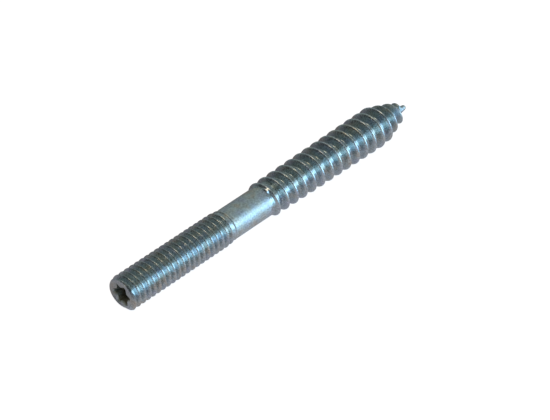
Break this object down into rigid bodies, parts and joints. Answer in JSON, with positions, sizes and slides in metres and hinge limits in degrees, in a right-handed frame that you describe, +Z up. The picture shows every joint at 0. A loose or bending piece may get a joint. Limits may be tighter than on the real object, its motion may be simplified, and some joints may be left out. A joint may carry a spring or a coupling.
{
  "type": "hanger bolt",
  "caption": "Hanger bolt with a machine thread and star socket at one end and a wood thread with a gimlet point at the other.",
  "frame": {"origin": "on the resting plane, below the middle of the bolt's length", "axes": "+Z up; +X along the bolt from the socket end towards the point, the axis rising about half a degree because the wood thread is wider than the machine thread; Y across"},
  "size_m": [0.089, 0.0094, 0.0095],
  "materials": {
    "zinc_plated_steel": "bright clear-passivated zinc plating"
  },
  "bodies": {
    "root": {"hanger_bolt": "zinc_plated_steel"}
  },
  "joints": []
}
